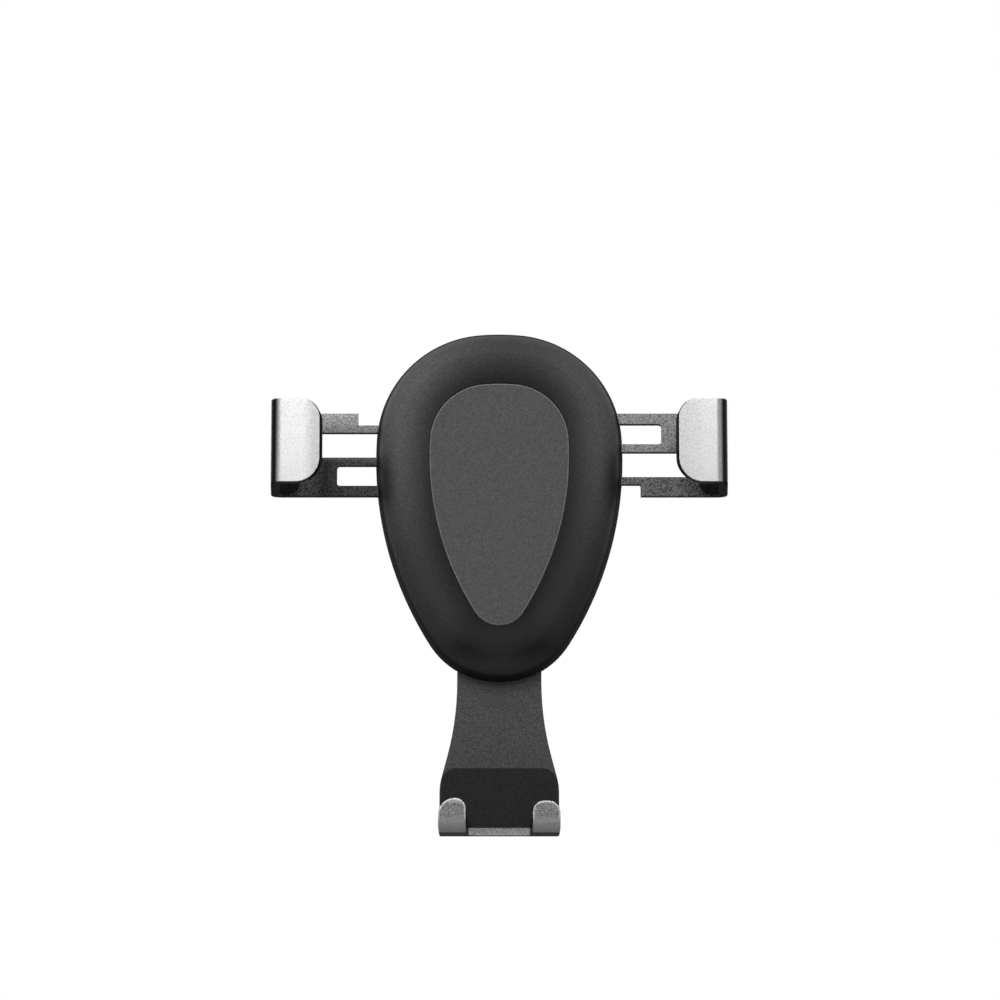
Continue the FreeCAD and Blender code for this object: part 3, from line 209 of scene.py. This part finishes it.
# Rubber and steel
RUBBER_ROUGHNESS = 0.6
RUBBER_SHEEN = 0.3
RUBBER_TONE = 0.016
RUBBER_FLECKS = (0.0006, 0.25)
STEEL_ROUGHNESS = 0.3
STEEL_TONE = 0.55
STEEL_FLECKS = (0.0008, 0.10)
STEEL_GRAIN_HEIGHT = 0.000005


# Shader helpers: each adds nodes to a material's tree and returns the last one's output

def new_finish(name, roughness, metallic=0.0, **sockets):
    """A node material, its tree and its main shader, with the plain values set."""
    made = bpy.data.materials.new(name)
    made.use_nodes = True
    tree = made.node_tree
    shader = tree.nodes["Principled BSDF"]
    shader.inputs["Roughness"].default_value = roughness
    shader.inputs["Metallic"].default_value = metallic
    for socket, value in sockets.items():
        shader.inputs[socket.replace("_", " ")].default_value = value
    return made, tree, shader


def place_of(tree):
    """The point on the object in the shared frame."""
    return tree.nodes.new("ShaderNodeTexCoord").outputs["Object"]


def normal_of(tree):
    """The direction that the surface faces."""
    return tree.nodes.new("ShaderNodeTexCoord").outputs["Normal"]


def part_of(tree, source, axis):
    """One part of a point or a direction."""
    split = tree.nodes.new("ShaderNodeSeparateXYZ")
    tree.links.new(source, split.inputs[0])
    return split.outputs[axis]


def axis_of(tree, axis):
    """One coordinate of the point."""
    return part_of(tree, place_of(tree), axis)


def facing(tree, axis):
    """How far the surface faces along one axis, from -1 to 1."""
    return part_of(tree, normal_of(tree), axis)


def fill(tree, socket, value):
    """Sets a socket to a number, or links it to an output."""
    if isinstance(value, (int, float)):
        socket.default_value = value
    else:
        tree.links.new(value, socket)


def spread(tree, value, low, high, to_low=0.0, to_high=1.0):
    """A value between low and high mapped smoothly between two others."""
    node = tree.nodes.new("ShaderNodeMapRange")
    node.interpolation_type = "SMOOTHSTEP"
    ends = zip(("Value", "From Min", "From Max", "To Min", "To Max"), (value, low, high, to_low, to_high))
    for socket, end in ends:
        fill(tree, node.inputs[socket], end)
    return node.outputs["Result"]


def blend(tree, mask, at_none, at_full):
    """One value where the mask is 0 and another where it is 1."""
    return spread(tree, mask, 0.0, 1.0, at_none, at_full)


def combine(tree, operation, first, second):
    """One sum, product or other pairing of two values, each an output or a number."""
    node = tree.nodes.new("ShaderNodeMath")
    node.operation = operation
    fill(tree, node.inputs[0], first)
    fill(tree, node.inputs[1], second)
    return node.outputs[0]


def product(tree, first, *others):
    """The product of several values."""
    for other in others:
        first = combine(tree, "MULTIPLY", first, other)
    return first


def magnitude(tree, value):
    """A value without its sign."""
    return combine(tree, "ABSOLUTE", value, 0.0)


def along(tree, first, second):
    """How far two directions agree, from -1 to 1."""
    node = tree.nodes.new("ShaderNodeVectorMath")
    node.operation = "DOT_PRODUCT"
    tree.links.new(first, node.inputs[0])
    tree.links.new(second, node.inputs[1])
    return node.outputs["Value"]


def outward(tree, middle):
    """How far the surface faces away from the Y line through a height, from -1 to 1."""
    flat = tree.nodes.new("ShaderNodeVectorMath")
    flat.operation = "MULTIPLY_ADD"
    tree.links.new(place_of(tree), flat.inputs[0])
    flat.inputs[1].default_value = (1.0, 0.0, 1.0)
    flat.inputs[2].default_value = (0.0, 0.0, -middle)
    unit = tree.nodes.new("ShaderNodeVectorMath")
    unit.operation = "NORMALIZE"
    tree.links.new(flat.outputs[0], unit.inputs[0])
    return along(tree, unit.outputs[0], normal_of(tree))


def rounded_normal(tree, width, samples):
    """The surface's direction as if its sharp edges were rounded by a width."""
    node = tree.nodes.new("ShaderNodeBevel")
    node.samples = samples
    node.inputs["Radius"].default_value = width
    return node.outputs["Normal"]


def edge_highlight_mask(tree, width):
    """From 0 on open faces to 1 on sharp edges, within a width of them, for placing painted edge
    highlights.
    """
    plain = tree.nodes.new("ShaderNodeNewGeometry")
    agreement = along(tree, rounded_normal(tree, width, EDGE_HIGHLIGHT_SAMPLES), plain.outputs["Normal"])
    return spread(tree, agreement, *EDGE_HIGHLIGHT_SPAN, 1.0, 0.0)


def grain(tree, size, detail=PLAIN_DETAIL):
    """Noise from 0 to 1 whose lumps are about one size across."""
    turned = tree.nodes.new("ShaderNodeMapping")
    turned.inputs["Rotation"].default_value = GRAIN_TURN
    tree.links.new(place_of(tree), turned.inputs["Vector"])
    noise = tree.nodes.new("ShaderNodeTexNoise")
    noise.inputs["Scale"].default_value = 1.0 / size
    noise.inputs["Detail"].default_value = detail
    noise.inputs["Roughness"].default_value = GRAIN_ROUGHNESS
    tree.links.new(turned.outputs[0], noise.inputs["Vector"])
    return noise.outputs["Fac"]


def flecked(tree, tone, size, share):
    """A tone that varies by a share either way in grains of one size."""
    darkest = combine(tree, "SUBTRACT", 1.0, share)
    palest = combine(tree, "ADD", 1.0, share)
    return combine(tree, "MULTIPLY", tone, spread(tree, grain(tree, size), *GRAIN_SPAN, darkest, palest))


def constant(tree, value):
    """A number that later nodes vary."""
    node = tree.nodes.new("ShaderNodeValue")
    node.outputs[0].default_value = value
    return node.outputs[0]


def colour(tree, shader, tone):
    """Gives the shader a neutral colour of one tone."""
    node = tree.nodes.new("ShaderNodeCombineColor")
    for socket in node.inputs:
        tree.links.new(tone, socket)
    tree.links.new(node.outputs[0], shader.inputs["Base Color"])


def bump(tree, shader, height, distance, edge_round=0.0):
    """Raises the surface by the height value times a distance, over softly rounded edges."""
    node = tree.nodes.new("ShaderNodeBump")
    node.inputs["Strength"].default_value = 1.0
    node.inputs["Distance"].default_value = distance
    tree.links.new(height, node.inputs["Height"])
    if edge_round:
        tree.links.new(rounded_normal(tree, edge_round, ROUND_SAMPLES), node.inputs["Normal"])
    tree.links.new(node.outputs["Normal"], shader.inputs["Normal"])


# Finishes

def plastic_finish(name, tone, roughness, grain_height):
    """Moulded plastic with a fine spark-eroded grain and a slightly uneven gloss."""
    made, tree, shader = new_finish(name, roughness)
    colour(tree, shader, flecked(tree, constant(tree, tone), MOULDED_GRAIN, MOULDED_FLECK_SHARE))
    least, most = roughness - GLOSS_CHANGE, roughness + GLOSS_CHANGE
    gloss = spread(tree, grain(tree, GLOSS_CLOUD), *GRAIN_SPAN, least, most)
    tree.links.new(gloss, shader.inputs["Roughness"])
    bump(tree, shader, grain(tree, MOULDED_GRAIN, RICH_DETAIL), grain_height)
    return made


def ring_finish():
    """Moulded plastic with light and shade painted into its tone: paler on its rounding, dark along its
    contour, where it is also matt.
    """
    made, tree, shader = new_finish("ring_finish", RING_ROUGHNESS, Specular_IOR_Level=RING_SHEEN)
    # Painted light: the tone is paler on the rounding, towards the top and the sides, and more on the
    # left than on the right
    across, height = axis_of(tree, X), axis_of(tree, Z)
    reach = magnitude(tree, across)
    raised = spread(tree, height, *RING_RISE)
    tone = product(
        tree,
        spread(tree, outward(tree, RING_MIDDLE), *RING_ROUNDING, 0.0, RING_ROUNDING_TONE),
        blend(tree, raised, RING_LOW_SHARE, 1.0),
        spread(tree, reach, *RING_SIDE_REACH, RING_CENTRE_SHARE, 1.0),
        spread(tree, across, *CENTRE_BAND, 1.0, RING_RIGHT_SHARE),
    )
    tone = combine(tree, "ADD", tone, product(tree, raised, RING_TOP_TONE))
    # Painted shade on the outer sides at mid-height
    waist = product(
        tree,
        spread(tree, height, *WAIST_RISE),
        spread(tree, height, *WAIST_FALL, 1.0, 0.0),
        spread(tree, reach, *WAIST_REACH),
    )
    # Painted shade low down near the middle
    chin = spread(tree, reach, *CHIN_REACH, CHIN_SHARE, 1.0)
    tone = product(
        tree,
        tone,
        blend(tree, waist, 1.0, WAIST_SHARE),
        spread(tree, height, *CHIN_RISE, chin, 1.0),
    )
    # Painted light at the lowest tip
    tone = combine(tree, "ADD", tone, spread(tree, height, *TIP_RISE, TIP_TONE, 0.0))
    # Painted shade along the contour, where the surface turns away; the contour is also made rougher
    contour = spread(tree, facing(tree, Y), *CONTOUR_FACING)
    tone = blend(tree, contour, tone, CONTOUR_TONE)
    tree.links.new(blend(tree, contour, RING_ROUGHNESS, CONTOUR_ROUGHNESS), shader.inputs["Roughness"])
    tone = spread(tree, facing(tree, Y), *RING_REAR_FACING, tone, RING_REAR_TONE)
    colour(tree, shader, flecked(tree, tone, *RING_FLECKS))
    bump(tree, shader, grain(tree, BLAST_GRAIN, RICH_DETAIL), RING_GRAIN_HEIGHT)
    return made


def insert_finish():
    """Dark blasted plate in the ring, with a painted highlight on its bevelled rim."""
    made, tree, shader = new_finish("insert_finish", INSERT_ROUGHNESS, Specular_IOR_Level=INSERT_SHEEN)
    # Painted highlight on the bevelled rim
    rim = spread(tree, facing(tree, Y), *INSERT_RIM_FACING)
    tone = blend(tree, rim, INSERT_TONE, INSERT_RIM_TONE)
    colour(tree, shader, flecked(tree, tone, *INSERT_FLECKS))
    bump(tree, shader, grain(tree, BLAST_GRAIN), BLAST_GRAIN_HEIGHT)
    return made


def arm_finish():
    """Blasted aluminium sheet: pale lips with painted light, a back plate darkened by painted shade, and
    painted shade on the walls, bends and downward faces.
    """
    made, tree, shader = new_finish("arm_finish", ARM_ROUGHNESS, metallic=1.0)
    across, rearward, height = (axis_of(tree, axis) for axis in (X, Y, Z))
    reach = magnitude(tree, across)
    # Painted light on the lips: paler towards their outer sides and their lower ends
    left_lip = product(
        tree,
        spread(tree, reach, *LEFT_LIP_REACH, *LEFT_LIP_TONES),
        spread(tree, height, *LEFT_LIP_RISE, *LEFT_LIP_SHARES),
    )
    right_lip = product(
        tree,
        spread(tree, reach, *RIGHT_LIP_REACH, *RIGHT_LIP_TONES),
        spread(tree, height, *RIGHT_LIP_RISE, *RIGHT_LIP_SHARES),
    )
    lip = combine(tree, "MINIMUM", spread(tree, across, *CENTRE_BAND, left_lip, right_lip), 1.0)
    # Painted shade on the side walls and, darker still, on the bends
    wall = spread(tree, rearward, *WALL_DEPTH, 1.0, 0.0)
    bend = spread(tree, magnitude(tree, facing(tree, X)), *BEND_FACING, 1.0, BEND_SHARE)
    lip = product(tree, lip, blend(tree, wall, WALL_SHARE, bend))

    # Painted shade on the back plates: darkest low down and towards the middle
    left_low = spread(tree, reach, *LEFT_PLATE_REACH, *LEFT_PLATE_TONES)
    left_top = spread(tree, height, *LEFT_TOP_RISE, *LEFT_TOP_TONES)
    left = spread(tree, height, *LEFT_PLATE_RISE, left_low, left_top)
    right_low = spread(tree, reach, *RIGHT_PLATE_REACH, *RIGHT_PLATE_TONES)
    right = spread(tree, height, *RIGHT_PLATE_RISE, right_low, RIGHT_TOP_TONE)
    plate = spread(tree, across, *CENTRE_BAND, left, right)

    forward = spread(tree, rearward, *LIP_DEPTH, 1.0, 0.0)
    plate_flecks = spread(tree, height, *PLATE_FLECK_RISE, *PLATE_FLECK_SHARES)
    face = blend(tree, forward, plate, lip)
    face = flecked(tree, face, SHEET_GRAIN, blend(tree, forward, plate_flecks, LIP_FLECK_SHARE))
    # Painted shade on faces that point downwards
    underside_shade = spread(tree, facing(tree, Z), *UNDERSIDE_SHADE_FACING, 1.0, 0.0)
    colour(tree, shader, blend(tree, underside_shade, face, UNDERSIDE_SHADE_TONE))
    bump(tree, shader, grain(tree, BLAST_GRAIN), BLAST_GRAIN_HEIGHT, ARM_EDGE_ROUND)
    return made


def foot_finish():
    """Dark blasted sheet, with painted light: paler hooks with painted highlights on their rims, and a
    painted bright face at the cable notch.
    """
    made, tree, shader = new_finish("foot_finish", FOOT_ROUGHNESS, metallic=FOOT_METALLIC)
    rearward, height = axis_of(tree, Y), axis_of(tree, Z)
    hooks = spread(tree, rearward, *HOOK_DEPTH, 1.0, 0.0)
    # Painted light on the front face of the cable notch, which is also made non-metallic
    notch = product(
        tree,
        spread(tree, facing(tree, Y), *NOTCH_FACING, 1.0, 0.0),
        spread(tree, height, *NOTCH_RISE, 1.0, 0.0),
        combine(tree, "SUBTRACT", 1.0, hooks),
    )
    # Painted light and shade on the hooks: pale at the top and the bottom, darker between
    pale = spread(tree, height, *HOOK_LOW_RISE, HOOK_PALE, HOOK_DARK)
    pale = spread(tree, height, *HOOK_HIGH_RISE, pale, HOOK_PALE)
    tone = blend(tree, hooks, FOOT_TONE, pale)
    tone = blend(tree, notch, tone, NOTCH_TONE)
    # Painted highlights on the hooks' rims and sharp edges
    rim_face = spread(tree, facing(tree, Y), *HOOK_RIM_FACING, 0.0, 1.0)
    rim = product(
        tree,
        hooks,
        spread(tree, height, *HOOK_RIM_RISE),
        combine(tree, "MAXIMUM", edge_highlight_mask(tree, HOOK_RIM_WIDTH), rim_face),
    )
    tone = blend(tree, rim, tone, HOOK_RIM_TONE)
    tree.links.new(blend(tree, notch, FOOT_METALLIC, 0.0), shader.inputs["Metallic"])
    hook_flecks = spread(tree, height, *HOOK_FLECK_RISE, *HOOK_FLECK_SHARES)
    tone = flecked(tree, tone, SHEET_GRAIN, blend(tree, hooks, FOOT_FLECK_SHARE, hook_flecks))
    colour(tree, shader, tone)
    bump(tree, shader, grain(tree, BLAST_GRAIN), BLAST_GRAIN_HEIGHT, FOOT_EDGE_ROUND)
    return made


def rubber_finish():
    """Black moulded rubber, nearly matt."""
    made, tree, shader = new_finish("rubber_finish", RUBBER_ROUGHNESS, Specular_IOR_Level=RUBBER_SHEEN)
    colour(tree, shader, flecked(tree, constant(tree, RUBBER_TONE), *RUBBER_FLECKS))
    bump(tree, shader, grain(tree, FINE_GRAIN, RICH_DETAIL), BLAST_GRAIN_HEIGHT)
    return made


def steel_finish():
    """Plain steel with a fine grain."""
    made, tree, shader = new_finish("steel_finish", STEEL_ROUGHNESS, metallic=1.0)
    colour(tree, shader, flecked(tree, constant(tree, STEEL_TONE), *STEEL_FLECKS))
    bump(tree, shader, grain(tree, FINE_GRAIN), STEEL_GRAIN_HEIGHT)
    return made


FINISHES = {
    "ring_plastic": ring_finish(),
    "insert_plate": insert_finish(),
    "black_plastic": plastic_finish(*COVER_PLASTIC),
    "steel": steel_finish(),
    "arm_sheet": arm_finish(),
    "foot_sheet": foot_finish(),
    "black_rubber": rubber_finish(),
    "seat_plastic": plastic_finish(*SEAT_PLASTIC),
    "clip_plastic": plastic_finish(*CLIP_PLASTIC),
}


# Object

def put(name, data, centre, towards=None, front="Z"):
    """A new object at a place, with one of its axes turned to a point."""
    made = bpy.data.objects.new(name, data)
    bpy.context.scene.collection.objects.link(made)
    made.location = centre
    if towards is not None:
        made.rotation_mode = "QUATERNION"
        made.rotation_quaternion = (Vector(towards) - Vector(centre)).to_track_quat(front, "Y")
    return made


def dress_nodes():
    """Gives every carried-over node the finish of its material slot."""
    for row in frame["record"]["subparts"]:
        mesh = nodes[row["node"]].data
        mesh.materials.clear()
        mesh.materials.append(FINISHES[row["material_slot"]])


def build_spring():
    """The return spring as a piece of its own, attached to the housing."""
    spring = put("return_spring_coil", nodes["return_spring"].data.copy(), (0.0, 0.0, 0.0))
    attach(spring, "housing")
    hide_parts("return_spring")
    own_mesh(spring)


# Studio

def build_card(name, centre, towards, width, height, shade):
    """A flat card that faces a point and is seen only in reflections."""
    mesh = bpy.data.meshes.new(name)
    x, y = width / 2, height / 2
    mesh.from_pydata([(-x, -y, 0), (x, -y, 0), (x, y, 0), (-x, y, 0)], [], [(0, 1, 2, 3)])
    finish, _, shader = new_finish(name + "_finish", 1.0, Specular_IOR_Level=0.0)
    shader.inputs["Base Color"].default_value = BLACK
    shader.inputs["Emission Color"].default_value = WHITE
    shader.inputs["Emission Strength"].default_value = shade * MIRRORED
    mesh.materials.append(finish)
    made = put(name, mesh, centre, towards)
    made.visible_camera = False
    made.visible_diffuse = False
    made.visible_shadow = False


def build_floor():
    """A pale round floor below the object that fades into the white surroundings."""
    mesh = bpy.data.meshes.new("floor")
    turns = [2 * math.pi * i / FLOOR_SIDES for i in range(FLOOR_SIDES)]
    rim = [(FLOOR_RADIUS * math.cos(turn), FLOOR_RADIUS * math.sin(turn), 0.0) for turn in turns]
    mesh.from_pydata(rim, [], [tuple(range(FLOOR_SIDES))])
    finish, tree, shader = new_finish("floor_finish", FLOOR_ROUGHNESS, Specular_IOR_Level=0.0)
    shader.inputs["Emission Color"].default_value = WHITE
    away = tree.nodes.new("ShaderNodeVectorMath")
    away.operation = "LENGTH"
    tree.links.new(place_of(tree), away.inputs[0])
    fade_start, fade_end = (share * FLOOR_RADIUS for share in FLOOR_FADE_SHARES)
    faded = spread(tree, away.outputs["Value"], fade_start, fade_end)
    seen = tree.nodes.new("ShaderNodeLightPath").outputs["Is Camera Ray"]
    glow = product(tree, blend(tree, faded, FLOOR_GLOW, 1.0), seen)
    tree.links.new(glow, shader.inputs["Emission Strength"])
    colour(tree, shader, blend(tree, faded, FLOOR_TONE, 0.0))
    mesh.materials.append(finish)
    floor = put("floor", mesh, (0.0, 0.0, FLOOR_HEIGHT))
    floor.visible_glossy = False


def build_surroundings():
    """White to the camera and in mirrors, a little dimmer as light on the surfaces."""
    world = bpy.data.worlds.new("surroundings")
    bpy.context.scene.world = world
    world.use_nodes = True
    tree = world.node_tree
    path = tree.nodes.new("ShaderNodeLightPath").outputs
    seen = combine(tree, "MAXIMUM", path["Is Camera Ray"], path["Is Transmission Ray"])
    level = blend(tree, path["Is Glossy Ray"], AMBIENT, MIRRORED)
    background = tree.nodes["Background"]
    background.inputs["Color"].default_value = WHITE
    tree.links.new(blend(tree, seen, level, 1.0), background.inputs["Strength"])


def build_lamp(name, centre, width, height, level):
    """A soft box of one brightness that faces the object and that the camera doesn't see."""
    lamp = bpy.data.lights.new(name, "AREA")
    lamp.shape = "RECTANGLE"
    lamp.size = width
    lamp.size_y = height
    lamp.energy = level * math.pi * width * height
    put(name, lamp, centre, CREST, "-Z").visible_camera = False


def build_camera():
    """Looks up at the middle of the ring's crest from a little below it."""
    lens = bpy.data.cameras.new("camera")
    lens.lens = CAMERA_LENS_MM
    lens.sensor_width = CAMERA_SENSOR_MM
    lens.shift_x = CAMERA_SHIFT
    below = math.radians(CAMERA_BELOW_DEG)
    away = Vector((0.0, -math.cos(below), -math.sin(below))) * CAMERA_DISTANCE
    bpy.context.scene.camera = put("camera", lens, CREST + away, CREST, "-Z")


dress_nodes()
build_spring()
build_floor()
build_surroundings()
for card in CARDS:
    build_card(*card)
for lamp in LAMPS:
    build_lamp(*lamp)
build_camera()
bpy.context.scene.view_settings.view_transform = "Standard"
